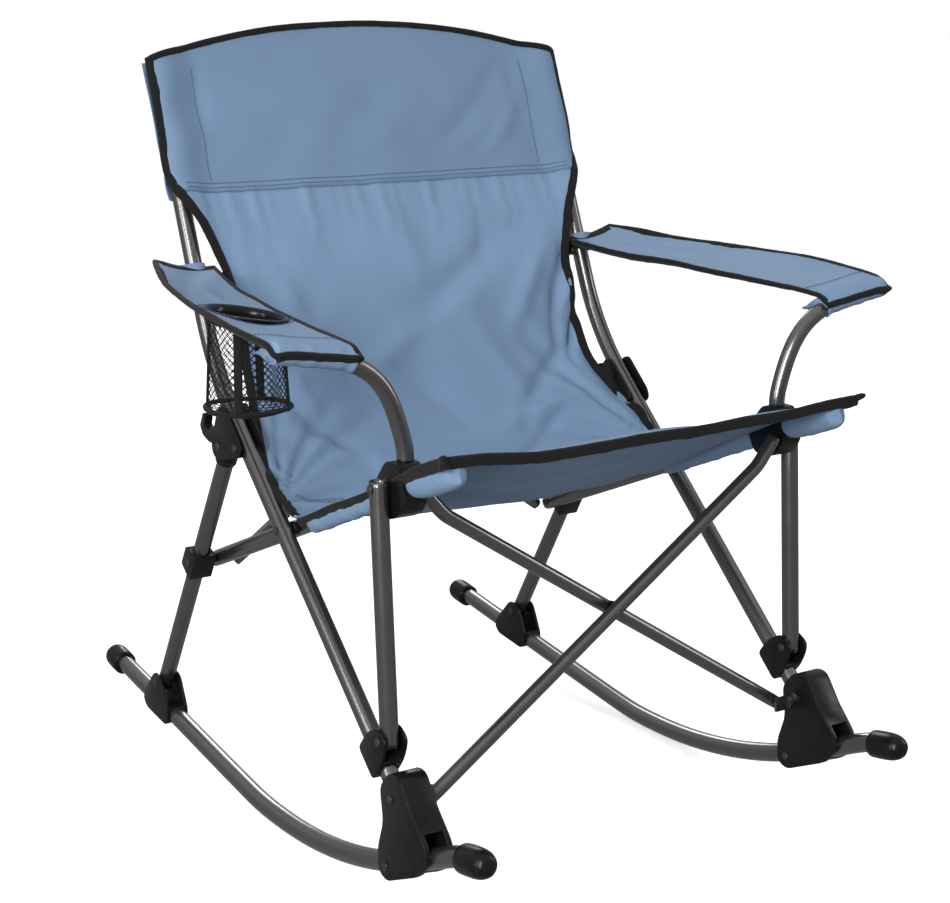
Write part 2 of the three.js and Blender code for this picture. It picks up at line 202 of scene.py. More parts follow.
# ---- materials ----
class Graph:
    """A material whose nodes are added and linked one call at a time."""

    def __init__(self, name, **sockets):
        self.material = bpy.data.materials.new(name)
        self.material.use_nodes = True
        self.tree = self.material.node_tree
        self.shader = self.tree.nodes["Principled BSDF"]
        self.set(self.shader, sockets)

    def set(self, node, values):
        for key, value in values.items():
            key = key.replace("_", " ") if isinstance(key, str) else key
            socket = node.inputs[key]
            if isinstance(value, bpy.types.NodeSocket):
                self.tree.links.new(value, socket)
            else:
                socket.default_value = value

    def add(self, kind, values, **settings):
        node = self.tree.nodes.new("ShaderNode" + kind)
        for key, value in settings.items():
            setattr(node, key, value)
        self.set(node, values)
        return node

    def math(self, operation, a, b):
        return self.add("Math", {0: a, 1: b}, operation=operation).outputs[0]

    def noise(self, place, scale, detail=2.0):
        values = {"Vector": place, "Scale": scale, "Detail": detail}
        return self.add("TexNoise", values).outputs["Fac"]

    def spread(self, value, low, high):
        """value, which is mostly 0.3 to 0.7 from a noise, as a number from low to high."""
        values = {"Value": value, "From_Min": 0.3, "From_Max": 0.7}
        values |= {"To_Min": low, "To_Max": high}
        return self.add("MapRange", values).outputs["Result"]

    def mix(self, factor, dark, light):
        node = self.add("Mix", {}, data_type="RGBA")
        self.set(node, {0: factor, 6: (*dark, 1), 7: (*light, 1)})
        return node.outputs[2]

    def bump(self, height, distance, strength=1.0, under=None):
        values = {"Height": height, "Distance": distance, "Strength": strength}
        if under is not None:
            values["Normal"] = under
        return self.add("Bump", values).outputs["Normal"]


def scaled(colour, factor):
    return tuple(c * factor for c in colour)


def frame_paint():
    """Gunmetal metallic powder coat: fine flake, slight orange peel, uneven gloss."""
    g = Graph("frame_paint", Metallic=0.9, Coat_Weight=0.3, Coat_Roughness=0.1)
    place = g.add("TexCoord", {}).outputs["Object"]
    flake, broad = g.noise(place, 2600.0), g.noise(place, 14.0)
    peel = g.noise(place, 380.0)
    dark, light = (0.105, 0.101, 0.095), (0.200, 0.194, 0.182)
    g.set(g.shader, {
        "Base_Color": g.mix(g.spread(flake, 0.0, 1.0), dark, light),
        "Roughness": g.spread(broad, 0.20, 0.29),
        "Normal": g.bump(flake, 0.00004, 0.5, g.bump(peel, 0.00008, 0.6)),
    })
    return g.material


def moulded_plastic(name, colour, roughness, grain):
    """Dark moulded plastic: fine spark grain, a little uneven gloss and rubbed patches."""
    g = Graph(name, Specular_IOR_Level=0.2)
    place = g.add("TexCoord", {}).outputs["Object"]
    fine, broad = g.noise(place, 1500.0), g.noise(place, 45.0, 4.0)
    dark, light = scaled(colour, 0.75), scaled(colour, 1.35)
    g.set(g.shader, {
        "Base_Color": g.mix(g.spread(broad, 0.0, 1.0), dark, light),
        "Roughness": g.spread(broad, roughness - 0.07, roughness + 0.07),
        "Normal": g.bump(fine, grain, 0.6),
    })
    return g.material


def woven(name, colour, pitch=0.0009):
    """Polyester oxford cloth: a plain weave of uneven yarns, soft sheen, faint shade changes."""
    g = Graph(name, Sheen_Weight=0.04, Sheen_Roughness=0.45, Specular_IOR_Level=0.3)
    place = g.add("TexCoord", {}).outputs["UV"]
    axes = g.add("SeparateXYZ", {"Vector": place})
    turns = 2 * math.pi / pitch
    yarns = [
        g.math("SINE", g.math("MULTIPLY", axes.outputs[k], turns), 0.0) for k in ("X", "Y")
    ]
    weave = g.math("MULTIPLY", *yarns)
    slub, patch = g.noise(place, 700.0, 3.0), g.noise(place, 7.0, 3.0)
    soft = g.noise(place, 28.0, 4.0)
    uneven = g.math("ADD", g.math("MULTIPLY", slub, 0.5), g.math("MULTIPLY", patch, 0.5))
    tone = g.math("ADD", g.math("MULTIPLY", weave, 0.18), g.spread(uneven, 0.1, 0.9))
    g.set(g.shader, {
        "Base_Color": g.mix(tone, scaled(colour, 0.90), scaled(colour, 1.09)),
        "Roughness": g.spread(slub, 0.72, 0.86),
        "Normal": g.bump(weave, 0.00009, 0.5, g.bump(soft, 0.0009, 0.35)),
    })
    return g.material


def ribbed_tape(name, colour, pitch=0.0013):
    """Grosgrain binding: ribs across the tape, with a slightly fuzzy edge tone."""
    g = Graph(name, Sheen_Weight=0.05, Sheen_Roughness=0.5, Specular_IOR_Level=0.14)
    place = g.add("TexCoord", {}).outputs["UV"]
    along = g.add("SeparateXYZ", {"Vector": place}).outputs["Y"]
    rib = g.math("SINE", g.math("MULTIPLY", along, 2 * math.pi / pitch), 0.0)
    fuzz = g.noise(place, 900.0, 3.0)
    dark, light = scaled(colour, 0.7), scaled(colour, 1.4)
    g.set(g.shader, {
        "Base_Color": g.mix(g.spread(fuzz, 0.0, 1.0), dark, light),
        "Roughness": g.spread(fuzz, 0.78, 0.9),
        "Normal": g.bump(rib, 0.00012, 0.6, g.bump(fuzz, 0.0002, 0.4)),
    })
    return g.material


PAINT = frame_paint()
PLASTIC = moulded_plastic("black_plastic", (0.0055, 0.0055, 0.0058), 0.3, 0.00004)
GLOSS = moulded_plastic("gloss_ring", (0.007, 0.007, 0.0075), 0.2, 0.00001)
STEEL = moulded_plastic("rivet_steel", (0.03, 0.029, 0.028), 0.3, 0.00002)
CLOTH = woven("sling_cloth", (0.158, 0.246, 0.375))
# The head panel and its rear sleeve use the sling cloth made about an eighth darker, which is
# painted shade in their colour.
SHADED_HEAD_CLOTH = woven("head_cloth_painted_shade", (0.138, 0.215, 0.330))
TAPE = ribbed_tape("edge_tape", (0.0085, 0.0081, 0.0078))
NET = ribbed_tape("net_cord", (0.008, 0.008, 0.0085))
THREAD = ribbed_tape("thread", (0.045, 0.085, 0.17), 0.0006)


# ---- frame tubes and moulded joints, made finer than the CAD's facets ----
def refined(node, material):
    """A copy of a CAD node with shared vertices and its flat faces whole again."""
    source = frame["nodes"][node]
    piece = bpy.data.objects.new(node + "_fine", source.data.copy())
    bpy.context.scene.collection.objects.link(piece)
    piece.data.materials.clear()
    piece.data.materials.append(material)
    shape = bmesh.new()
    shape.from_mesh(piece.data)
    for face in shape.faces:
        face.material_index = 0
        face.smooth = True
    bmesh.ops.remove_doubles(shape, verts=shape.verts, dist=2e-5)
    return piece, shape


def fine_tube(node, material, sharp=50, levels=2, grow=0.0, lift=0.0):
    """A swept or turned node made round by subdividing it; edges over `sharp` degrees stay crisp.

    grow mm are added all round, and it is raised by lift mm.
    """
    piece, shape = refined(node, material)
    shape.normal_update()
    for vertex in shape.verts:
        vertex.co += (vertex.normal * grow + Vector((0, 0, lift))) * MM
    bmesh.ops.join_triangles(
        shape, faces=shape.faces,
        angle_face_threshold=math.radians(14), angle_shape_threshold=math.radians(180),
    )
    crease = shape.edges.layers.float.new("crease_edge")
    for edge in shape.edges:
        if len(edge.link_faces) == 2 and edge.calc_face_angle() > math.radians(sharp):
            edge[crease] = 0.92
    shape.to_mesh(piece.data)
    shape.free()
    subdivide = piece.modifiers.new("round", "SUBSURF")
    subdivide.levels = subdivide.render_levels = levels
    return piece


def fine_plate(node, material, width=1.3):
    """Rounds the edges of a moulded or pressed node."""
    piece, shape = refined(node, material)
    bmesh.ops.dissolve_limit(
        shape, angle_limit=math.radians(2.0), verts=shape.verts, edges=shape.edges
    )
    shape.to_mesh(piece.data)
    shape.free()
    bevel = piece.modifiers.new("edges", "BEVEL")
    bevel.width, bevel.segments = width * MM, 3
    bevel.limit_method, bevel.angle_limit = "ANGLE", math.radians(38)
    bevel.harden_normals = True
    return piece


BODIES = frame["record"]["behaviour"]["bodies"]
BODY_OF = {node: body for body, nodes in BODIES.items() for node in nodes}
TUBES = ("back_post", "rear_leg", "seat_rail", "strut", "rocker", "arm_post", "front_cross_bar",
         "rear_cross_bar")
CAPS = ("rail_front_cap", "rocker_front_cap", "rocker_rear_cap", "rear_leg_cap")
MOULDED = ("top_bracket", "foot_bracket", "rear_collar", "rear_collar_washer", "seat_pivot_washer",
           "front_bracket", "strut_collar", "rocker_saddle")
PRESSED = ("front_strap", "rear_strap")
# The photo's runners are thicker than the CAD's tube, so they and their caps are grown, in mm.
RUNNER_GROWTH = 1.5
RUNNER_CAP_GROWTH = 2.0
CAP_GROWTH = 0.6


def stands_for(piece, node):
    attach(piece, BODY_OF[node])
    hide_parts(node)


def frame_pieces():
    for side in SIDES:
        for part in TUBES:
            node = f"{side}_{part}"
            # Raised by as much as it grows, a runner still stands on the floor.
            thicker = RUNNER_GROWTH if part == "rocker" else 0.0
            piece = fine_tube(node, PAINT, grow=thicker, lift=thicker)
            stands_for(piece, node)
        for part in CAPS:
            node = f"{side}_{part}"
            grow = RUNNER_CAP_GROWTH if part.startswith("rocker") else CAP_GROWTH
            stands_for(fine_tube(node, PLASTIC, sharp=62, grow=grow), node)
        for part in MOULDED:
            node = f"{side}_{part}"
            stands_for(fine_plate(node, PLASTIC), node)
        for part in PRESSED:
            node = f"{side}_{part}"
            stands_for(fine_plate(node, PAINT, 0.8), node)
    for part in ("front_cross_washer", "rear_cross_washer"):
        stands_for(fine_plate(part, PLASTIC, 0.5), part)


# A rivet head from its middle out: distance over its radius, and height over its dome's.
RIVET_PROFILE = [
    (0, 0.62), (0.22, 0.62), (0.3, 0.95), (0.62, 0.88), (0.88, 0.55), (1, 0.12), (1, -0.15),
]


def rivet(name, body, centre, axis, radius=5.5, height=2.4):
    """A domed rivet head with a pressed dimple, its flat on centre and its dome along axis."""
    axis = unit(axis)
    side = unit(np.cross(axis, (0.31, 0.52, 0.79)))
    other = np.cross(axis, side)
    angles = np.linspace(0, 2 * math.pi, 20, endpoint=False)
    around = np.cos(angles)[:, None] * side + np.sin(angles)[:, None] * other
    centre = np.asarray(centre, float)
    rows = [
        centre + around * radius * max(r, 0.02) + axis * height * h for r, h in RIVET_PROFILE
    ]
    piece = skin(name, np.array(rows), STEEL)
    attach(piece, body)
    return piece


RIVETS = [  # name, body, (y, z), |x| of the face it stands on, 1 outboard or -1 inboard
    ("leg_pivot", "frame", (89, 474), 317.6, 1),
    ("bracket_front", "frame", (41, 481), 317.6, 1),
    ("leg_pivot_inner", "frame", (89, 474), 282.4, -1),
    ("post_foot", "frame", (-332, 152), 318.1, 1),
    ("post_foot_inner", "frame", (-332, 152), 281.9, -1),
    ("runner", "frame", (-320, 66.25), 318.1, 1),
    ("runner_inner", "frame", (-320, 66.25), 281.9, -1),
    ("strut_foot", "strut_collar", (-302, 209), 315.6, 1),
    ("strut_foot_inner", "strut_collar", (-302, 209), 284.4, -1),
    ("strut_top", "strut", (-284, 498), 311.2, 1),
    ("seat_pivot", "frame", (-52, 396), 311.2, 1),
    ("rail_pivot", "seat_rail", (-52, 396), 261.8, -1),
    ("collar", "rear_collar", (196.5, 295), 315.6, 1),
    ("rail_rear", "seat_rail", (196.5, 295), 261.8, -1),
    ("saddle", "rocker_saddle", (320.6, 88), 315.6, 1),
    ("saddle_inner", "rocker_saddle", (320.6, 88), 284.4, -1),
    ("front_bracket", "seat_rail", (-281, 483), 287.9, 1),
]


def rivets():
    for side, sign in SIDES.items():
        for name, part, (y, z), x, way in RIVETS:
            rivet(f"{side}_{name}_rivet", f"{side}_{part}", (sign * x, y, z), (sign * way, 0, 0))


# ---- the sling ----
# Rows from the crease up to the top hem: the edge (x, y, z) and the middle (y, z) of the back.
BACK_ROWS = [
    ((291, -62, 414), (-24, 384)),
    ((297, -24, 436), (-2, 400)),
    ((294, 16, 464), (26, 434)),
    ((280, 60, 494), (62, 482)),
    ((268, 98, 530), (88, 526)),
    ((264, 122, 575), (110, 574)),
    ((262, 136, 622), (131, 622)),
    ((266, 150, 672), (155, 674)),
    ((288, 180, 735), (187, 736)),
    ((314, 212, 784), (212, 784)),
    ((316, 239, 856), (240, 862)),
    ((315, 275, 945), (292, 990)),
]
SEAM_ROW = 9
SEAT_ROWS = [  # from the crease to the front hem
    ((282, -58, 407), (-20, 386)),
    ((284, -110, 429), (-90, 396)),
    ((284, -180, 458), (-180, 430)),
    ((284, -245, 486), (-245, 464)),
    ((286, -300, 513), (-300, 502)),
    ((291, -350, 535), (-350, 530)),
    ((294, -409, 556), (-391, 543)),
]
# Points along and across each sheet.
BACK_SIZE = (121, 97)
SEAT_SIZE = (111, 97)
POST_SHOULDER = 16.5


def sheet_grid(rows, size):
    """Points (rows, columns, 3) of a sheet between its mirrored edges, and x over the edge's x."""
    count, columns = size
    edge = through([e for e, _ in rows], count)
    middle = through([(0, *m) for _, m in rows], count)
    u = np.linspace(-1, 1, columns)
    bow = np.abs(u)[None, :, None] ** 2.2
    points = middle[:, None] * (1 - bow) + edge[:, None] * bow
    points[:, :, 0] = edge[:, 0, None] * u[None]
    return points, np.broadcast_to(u, (count, columns))


def normals_of(points):
    down = np.gradient(points, axis=0)
    across = np.gradient(points, axis=1)
    return unit(np.cross(across, down))


def fold(x, y, start, end, depth, width):
    """A crease of that depth and width along the line from start to end, fading out at its ends."""
    start, end = np.array(start, float), np.array(end, float)
    along = end - start
    span = np.linalg.norm(along)
    along /= span
    t = ((x - start[0]) * along[0] + (y - start[1]) * along[1]) / span
    d = (x - start[0]) * -along[1] + (y - start[1]) * along[0]
    d = d + 0.05 * span * np.sin(3.0 * t + depth)
    inside = np.clip(t, 0, 1)
    return depth * np.exp(-((d / width) ** 2)) * np.sin(math.pi * inside) ** 0.7


# Folds of the back and its head panel: from (x, z) to (x, z), depth and width.
BACK_FOLDS = [
    ((255, 742), (-40, 560), -6.0, 24), ((120, 660), (-190, 470), 5.4, 22),
    ((262, 690), (215, 520), -6.5, 12), ((236, 720), (150, 560), 5.0, 17),
    ((-258, 720), (-205, 560), -6.0, 13), ((-225, 700), (-120, 520), 4.6, 18),
    ((-250, 560), (-120, 440), -6.8, 13), ((-262, 500), (-60, 430), 6.0, 12),
    ((250, 560), (110, 450), -6.5, 13), ((262, 500), (60, 440), 5.6, 12),
    ((-60, 560), (40, 455), -4.2, 20), ((60, 600), (160, 470), 4.0, 20),
    ((262, 612), (236, 520), -8.0, 7), ((262, 650), (228, 575), 4.5, 8),
    ((264, 700), (246, 640), -4.5, 7), ((-262, 640), (-228, 560), -5.0, 8),
    ((-240, 620), (-170, 470), 3.8, 11), ((-200, 470), (-90, 420), -5.0, 9),
    ((200, 470), (90, 424), -4.6, 9), ((-20, 775), (20, 640), 3.4, 22),
    ((150, 775), (110, 660), -3.6, 16),
]
HEAD_FOLDS = [
    ((235, 950), (60, 800), -3.0, 12), ((250, 900), (150, 792), 3.2, 9),
    ((205, 860), (120, 790), -2.6, 8), ((-240, 905), (-60, 860), 2.2, 14),
    ((-150, 960), (120, 935), -2.4, 13), ((248, 840), (236, 950), -2.6, 9),
    ((-248, 840), (-246, 950), -3.0, 9),
]
# Folds of the seat: from (x, y) to (x, y), depth and width.
SEAT_FOLDS = [
    ((-280, -366), (290, -362), -5.0, 9), ((-285, -338), (280, -330), 5.4, 11),
    ((-270, -300), (270, -292), -5.4, 14), ((-250, -240), (250, -250), 5.0, 20),
    ((-280, -352), (-150, -300), 6.4, 9), ((280, -352), (160, -296), 6.4, 9),
    ((-270, -130), (-110, -210), -6.0, 13), ((270, -130), (110, -210), -6.0, 13),
    ((-240, -345), (-60, -318), -4.5, 8), ((230, -348), (40, -322), -4.5, 8),
    ((-200, -190), (120, -215), 4.0, 16), ((-120, -150), (200, -165), -4.0, 15),
]


def over_posts(points, height, start):
    """How far the cloth stands off over the back posts: a ramp from start up to the post's
    middle, then a round shoulder down to the hem."""
    x = np.abs(points[:, :, 0])
    ramp = np.clip((x - start) / (FRAME_X - start), 0, 1)
    ramp = ramp * ramp * (3 - 2 * ramp)
    beyond = np.clip((x - FRAME_X) / POST_SHOULDER, 0, 1)
    return height * np.where(x < FRAME_X, ramp, np.sqrt(1 - beyond**2))


def back_relief(points):
    """Folds of the sling back, in millimetres towards the sitter, from where each point lies."""
    x, z = points[:, :, 0], points[:, :, 2]
    relief = 4.0 * waves(x + 0.4 * z, (310, 190, 140), 3) * waves(z - 0.3 * x, (260, 170), 4)
    below = np.clip(HEAD_SEAM_Z - z, 0, None)
    puckers = waves(x + 6 * waves(z, (60, 41), 8), (19, 27, 38, 61), 5)
    gather = np.where(z < HEAD_SEAM_Z, 4.6, 0.0)
    relief += gather * puckers * np.exp(-below / 42) * (1 - np.exp(-below / 6))
    for sign in (-1, 1):
        dx, dz = sign * x - 292, z - 425
        distance = np.hypot(dx, dz)
        angle = np.arctan2(dz, -dx)
        rays = waves(angle, (0.34, 0.22, 0.53), 11 + sign)
        relief += 11.0 * rays * np.exp(-distance / 140) * (1 - np.exp(-distance / 32))
    reach = np.clip((HEAD_SEAM_Z - z) / 120, 0, 1)
    for start, end, depth, width in BACK_FOLDS:
        relief += 1.35 * fold(x, z, start, end, depth, 0.85 * width) * reach
    top = np.clip((z - HEAD_SEAM_Z) / 60, 0, 1)
    relief += top * 3.4 * waves(x, (240, 150, 95), 21) * waves(z, (130, 80), 22)
    for start, end, depth, width in HEAD_FOLDS:
        relief += fold(x, z, start, end, depth, width) * top
    return relief


def seat_relief(points):
    x, y = points[:, :, 0], points[:, :, 1]
    relief = 2.5 * waves(x, (280, 170, 120), 31) * waves(y, (160, 110), 32)
    for start, end, depth, width in SEAT_FOLDS:
        relief += fold(x, y, start, end, depth, width)
    ramp = np.clip((-270 - y) / 60, 0, 1) * np.clip((y + 392) / 24, 0, 1)
    over_rail = 9.0 * ramp * np.exp(-(((np.abs(x) - 268) / 17) ** 2))
    return relief - over_rail


def cloth_uvs(points):
    """Flat cloth coordinates in metres: distance across each row, and mean distance down it."""
    steps_across = np.diff(points, axis=1, prepend=points[:, :1])
    steps_along = np.diff(points, axis=0, prepend=points[:1])
    across = np.cumsum(np.linalg.norm(steps_across, axis=2), axis=1)
    along = np.cumsum(np.linalg.norm(steps_along, axis=2).mean(1))
    across = across - across[:, -1:] / 2
    along = np.broadcast_to(along[:, None], across.shape)
    return np.stack([across, along], axis=2).reshape(-1, 2) * MM


def cloth_sheet(name, points, material, thickness=1.2):
    faces = grid_faces(*points.shape[:2])
    piece = mesh_piece(name, points.reshape(-1, 3), faces, material, cloth_uvs(points))
    solid = piece.modifiers.new("thickness", "SOLIDIFY")
    solid.thickness, solid.offset = thickness * MM, 0
    return piece


# Section of a folded edge tape: distance in from the cloth's edge, and height off its middle.
TAPE_SECTION = [
    (-2.2, 0.0), (-1.8, 1.5), (-0.4, 2.5), (2.0, 2.7), (10.4, 2.3), (11.8, 1.8), (12.0, 1.0),
    (12.0, -1.0), (11.8, -1.8), (10.4, -2.3), (2.0, -2.7), (-0.4, -2.5), (-1.8, -1.5),
]


def edge_tape(name, edge, inward, seed, ring=False, wide=1.0, thick=1.0, material=TAPE):
    """A tape folded over a cloth's edge; inward points from the edge into the cloth.

    wide and thick are over TAPE_SECTION's, and thick may vary along the edge.
    """
    t = tangents(edge, ring)
    inward = unit(inward - (inward * t).sum(1, keepdims=True) * t)
    face = np.cross(t, inward)
    s = lengths(edge)
    width = wide * (1 + 0.06 * waves(s, (67, 41, 23), seed))
    lift = 0.35 * waves(s, (53, 31, 17), seed + 1)
    section = np.array(TAPE_SECTION)
    thick = np.broadcast_to(thick, s.shape)[:, None, None]
    points = (edge[:, None] + inward[:, None] * section[None, :, :1] * width[:, None, None]
              + face[:, None] * (section[None, :, 1:] * thick + lift[:, None, None]))
    return skin(name, points, material, ring)


def inward_of(points, boundary):
    """Edge points of a sheet grid and directions into the sheet, for one named boundary."""
    edge, inner = {
        "left": (points[:, -1], points[:, -3]), "right": (points[:, 0], points[:, 2]),
        "first": (points[0], points[2]), "last": (points[-1], points[-3]),
    }[boundary]
    return edge, inner - edge


def stitches(name, path, normal, spacing=4.6, size=0.55, lift=0.9, zigzag=0.0):
    """A row of thread stitches along a path, lying on the cloth; zigzag swings each one aside."""
    path = evenly(path, spacing)
    normal = unit(np.broadcast_to(normal, path.shape))
    t = tangents(path)
    side = np.cross(t, normal)
    ring = np.linspace(0, 2 * math.pi, 6, endpoint=False)
    vertices, faces = [], []
    for i, (p, d, n, s) in enumerate(zip(path, t, normal, side)):
        way = unit(d + s * (zigzag if i % 2 else -zigzag))
        across = np.cross(way, n)
        for along, r in ((-0.36, 0.35), (-0.22, 1.0), (0.22, 1.0), (0.36, 0.35)):
            centre = p + n * lift + way * spacing * along
            vertices += [
                centre + size * r * (math.cos(a) * across + math.sin(a) * n) for a in ring
            ]
        # Four rings of six points make one stitch, closed at both ends.
        base = i * 24
        faces += [tuple(base + k for k in f) for f in grid_faces(4, 6, loop=True)]
        faces += [tuple(base + k for k in range(6))[::-1], tuple(base + 18 + k for k in range(6))]
    uvs = np.zeros((len(vertices), 2))
    uvs[:, 1] = np.tile(np.repeat(np.linspace(0, 0.002, 4), 6), len(path))
    piece = mesh_piece(name, vertices, faces, THREAD, uvs)
    tidy_normals(piece)
    return piece


def squash_with_fold(piece, body):
    """Fixes cloth that hangs across the chair to a body and gives it a mesh of its own."""
    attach(piece, body)
    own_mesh(piece)


def sling_back():
    plain, u = sheet_grid(BACK_ROWS, BACK_SIZE)
    normal = normals_of(plain)
    z = plain[:, :, 2]
    near_top = np.clip((z - 700) / 60, 0, 1)
    lift = over_posts(plain, 12.8, 254) * near_top
    points = plain + normal * (lift + back_relief(plain))[:, :, None]
    sling = cloth_sheet("sling_back_cloth", points, CLOTH)
    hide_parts("sling_back")
    pieces = [sling]

    first = int(SEAM_ROW / (len(BACK_ROWS) - 1) * (BACK_SIZE[0] - 1)) - 1
    head_normal = normals_of(points)
    panel = points[first:] + head_normal[first:] * 1.5
    # The head panel's cloth is darker than the sling's: painted shade.
    head = cloth_sheet("head_panel", panel, SHADED_HEAD_CLOTH, 1.1)
    pieces.append(head)
    # The rear sleeve passes behind the posts and stays behind the sling's deepest folds.
    behind = 3.2 - np.minimum(back_relief(plain), 0) + over_posts(plain, 16.0, 230)
    rear = plain - normal * behind[:, :, None]
    sleeve = cloth_sheet("head_sleeve_rear", rear[first:], SHADED_HEAD_CLOTH, 1.1)
    pieces.append(sleeve)

    for side in ("left", "right"):
        edge, inward = inward_of(points, side)
        thick = np.where(np.arange(len(edge)) >= first - 1, 1.9, 1.1)
        pieces.append(edge_tape(f"back_{side}_tape", edge, inward, 41, wide=0.85, thick=thick))
    edge, inward = inward_of(points, "last")
    pieces.append(edge_tape("back_top_tape", edge, inward, 43, wide=0.62, thick=1.9))
    edge, inward = inward_of(points, "first")
    pieces.append(edge_tape("back_crease_tape", edge, inward, 44, material=CLOTH))

    # Seams: two rows along the head panel's lower edge, one down each side of it, and two more
    # just above the crease.
    for k, row in enumerate((first + 1, first + 2)):
        line = points[row, 3:-3] + head_normal[row, 3:-3] * 1.6
        pieces.append(stitches(f"head_seam_{k + 1}", line, head_normal[row, 40], zigzag=0.25))
    for side, sign in SIDES.items():
        column = int(np.argmin(np.abs(u[0] * 315 - sign * 258)))
        outward = head_normal[first + 20, column]
        pieces.append(stitches(f"head_{side}_seam", panel[3:-3, column], outward, zigzag=0.5))
    for k, row in enumerate((6, 10)):
        line = points[row, 5:-5] + head_normal[row, 5:-5] * 0.6
        outward = head_normal[row, 48]
        seam = stitches(f"crease_seam_{k + 1}", line, outward, spacing=5.6, zigzag=0.9)
        pieces.append(seam)
    for piece in pieces:
        squash_with_fold(piece, "right_frame")


def sling_seat():
    plain, _ = sheet_grid(SEAT_ROWS, SEAT_SIZE)
    points = plain - normals_of(plain) * seat_relief(plain)[:, :, None]
    sling = cloth_sheet("sling_seat_cloth", points, CLOTH)
    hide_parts("sling_seat")
    pieces = [sling]
    # The seat's tapes hang down over its edges.
    for side, sign in SIDES.items():
        edge, _ = inward_of(points, side)
        hanging = np.broadcast_to(np.array([-0.45 * sign, 0, -0.9]), edge.shape)
        pieces.append(edge_tape(f"seat_{side}_tape", edge, hanging, 51, thick=1.1))
    edge, _ = inward_of(points, "last")
    hanging = np.broadcast_to(np.array([0, 0.4, -0.92]), edge.shape)
    pieces.append(edge_tape("seat_front_tape", edge, hanging, 53, wide=1.05))
    for piece in pieces:
        squash_with_fold(piece, "right_seat_rail")
    corner_pockets()


POCKET_ROWS = [  # distance from the seat pivot, half width, half height, rise of the middle
    (286, 13.6, 14.2, -1.0), (300, 15.4, 16.4, -1.5), (325, 16.2, 17.6, -2.5),
    (348, 15.6, 17.6, -3.2), (362, 14.8, 16.6, -3.8), (370, 14.4, 15.8, -4.0),
    (375, 11.0, 14.6, -4.0), (378, 5.0, 13.2, -4.0), (379.5, 1.8, 12.4, -4.0),
]
CORNER_TIP = [(290, -402, 551), (294, -409, 555), (298, -417, 559)]
CORNER_TIP_RADII = [3.4, 4.6, 5.2, 5.4, 5.4, 5.2, 4.8, 4.0, 2.4]


def corner_pockets():
    """The sewn pockets that hold the seat's front corners on the rail ends.

    Each has a seam and a black tip.
    """
    rows = through([row[:3] for row in POCKET_ROWS], 26)
    distance, half_width, half_height = rows[:, :1], rows[:, 1, None], rows[:, 2, None]
    listed = [row[0] for row in POCKET_ROWS], [row[3] for row in POCKET_ROWS]
    rise = np.interp(rows[:, 0], *listed)[:, None]
    angles = np.linspace(0, 2 * math.pi, 30, endpoint=False)
    crinkle = 1 + 0.035 * waves(distance + 12 * np.cos(angles)[None], (34, 21, 57), 62)
    width = half_width * crinkle * np.cos(angles)
    height = half_height * crinkle * np.sin(angles) + rise
    for side, sign in SIDES.items():
        start = np.array([sign * RAIL_X, *SEAT_PIVOT], float)
        along = unit([0, RAIL_FRONT[0] - SEAT_PIVOT[0], RAIL_FRONT[1] - SEAT_PIVOT[1]])
        out = np.array([sign, 0.0, 0.0])
        up = np.array([0, along[2], -along[1]])
        sections = (start + distance[:, None] * along + out * width[:, :, None]
                    + up * height[:, :, None])
        pocket = skin(f"{side}_corner_pocket", sections, CLOTH)
        seam = stitches(f"{side}_corner_seam", sections[17, 2:14], out, lift=0.4)
        tip = through([(sign * x, y, z) for x, y, z in CORNER_TIP], len(CORNER_TIP_RADII))
        end = tube(f"{side}_corner_tip", tip, CORNER_TIP_RADII, TAPE, flat=0.8)
        for piece in (pocket, seam, end):
            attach(piece, f"{side}_seat_rail")


def rail_sleeves():
    """The sewn tunnels that carry the seat along its rails."""
    for side, sign in SIDES.items():
        a = np.array([sign * RAIL_X, *SEAT_PIVOT])
        b = np.array([sign * RAIL_X, *RAIL_FRONT])
        path = a + (b - a) * np.linspace(0.085, 0.60, 44)[:, None]
        s = lengths(path)
        angles = np.linspace(0, 2 * math.pi, 28, endpoint=False)
        t = unit(b - a)
        out = np.array([sign, 0, 0])
        up = np.cross(t, out) * sign
        wrinkle = waves(s[:, None] + 14 * np.cos(angles)[None], (37, 23, 61), 61)
        width = 12.2 + 0.8 * wrinkle
        height = 13.6 + 0.9 * wrinkle
        sections = (path[:, None] + out * (width * np.cos(angles))[:, :, None]
                    + up * (height * np.sin(angles))[:, :, None])
        sleeve = skin(f"{side}_rail_sleeve", sections, CLOTH)
        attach(sleeve, f"{side}_seat_rail")


# ---- arms ----
ARM_INNER = [(333, -310), (331, -225), (324, -130), (311, -10), (292, 90), (275, 172)]
ARM_OUTER = [
    (436, -313), (442, -250), (440, -175), (427, -80), (404, 25), (378, 115), (356, 176),
]


def arm_slope(x, y):
    """Height of an arm's plane over its inner front corner: it rises outwards and to the rear."""
    return (x - 331) * 0.16 + (y + 292) * 0.055


def arm_height(x, y):
    """Top of an arm panel: the CAD arm's plane with the slack that the real cloth has."""
    inner = np.interp(y, [p[1] for p in ARM_INNER], [p[0] for p in ARM_INNER])
    outer = np.interp(y, [p[1] for p in ARM_OUTER], [p[0] for p in ARM_OUTER])
    u = np.clip((x - inner) / np.maximum(outer - inner, 1), 0, 1)
    front = np.exp(-np.clip(y + 292, 0, None) / 60)
    sag = -5.0 * np.sin(math.pi * u) * (1 - front)
    ripple = 1.3 * waves(x * 0.7 + y * 0.6, (70, 115, 160), 71) * (1 - front)
    crease = fold(x, y, (336, 150), (404, -60), -4.4, 7) + fold(x, y, (326, 90), (372, -90), 3.6, 8)
    crease += fold(x, y, (352, 170), (420, 0), 3.0, 8)
    behind = np.clip((y - 10) / 165, 0, 1)
    over_post = 9.0 * np.clip((-286 - y) / 21, 0, 1) ** 2
    over_post = over_post + 4.0 * np.clip((x - 418) / 20, 0, 1) * front
    return 661.0 + arm_slope(x, y) + sag + ripple + crease + 10.0 * behind**2 - over_post


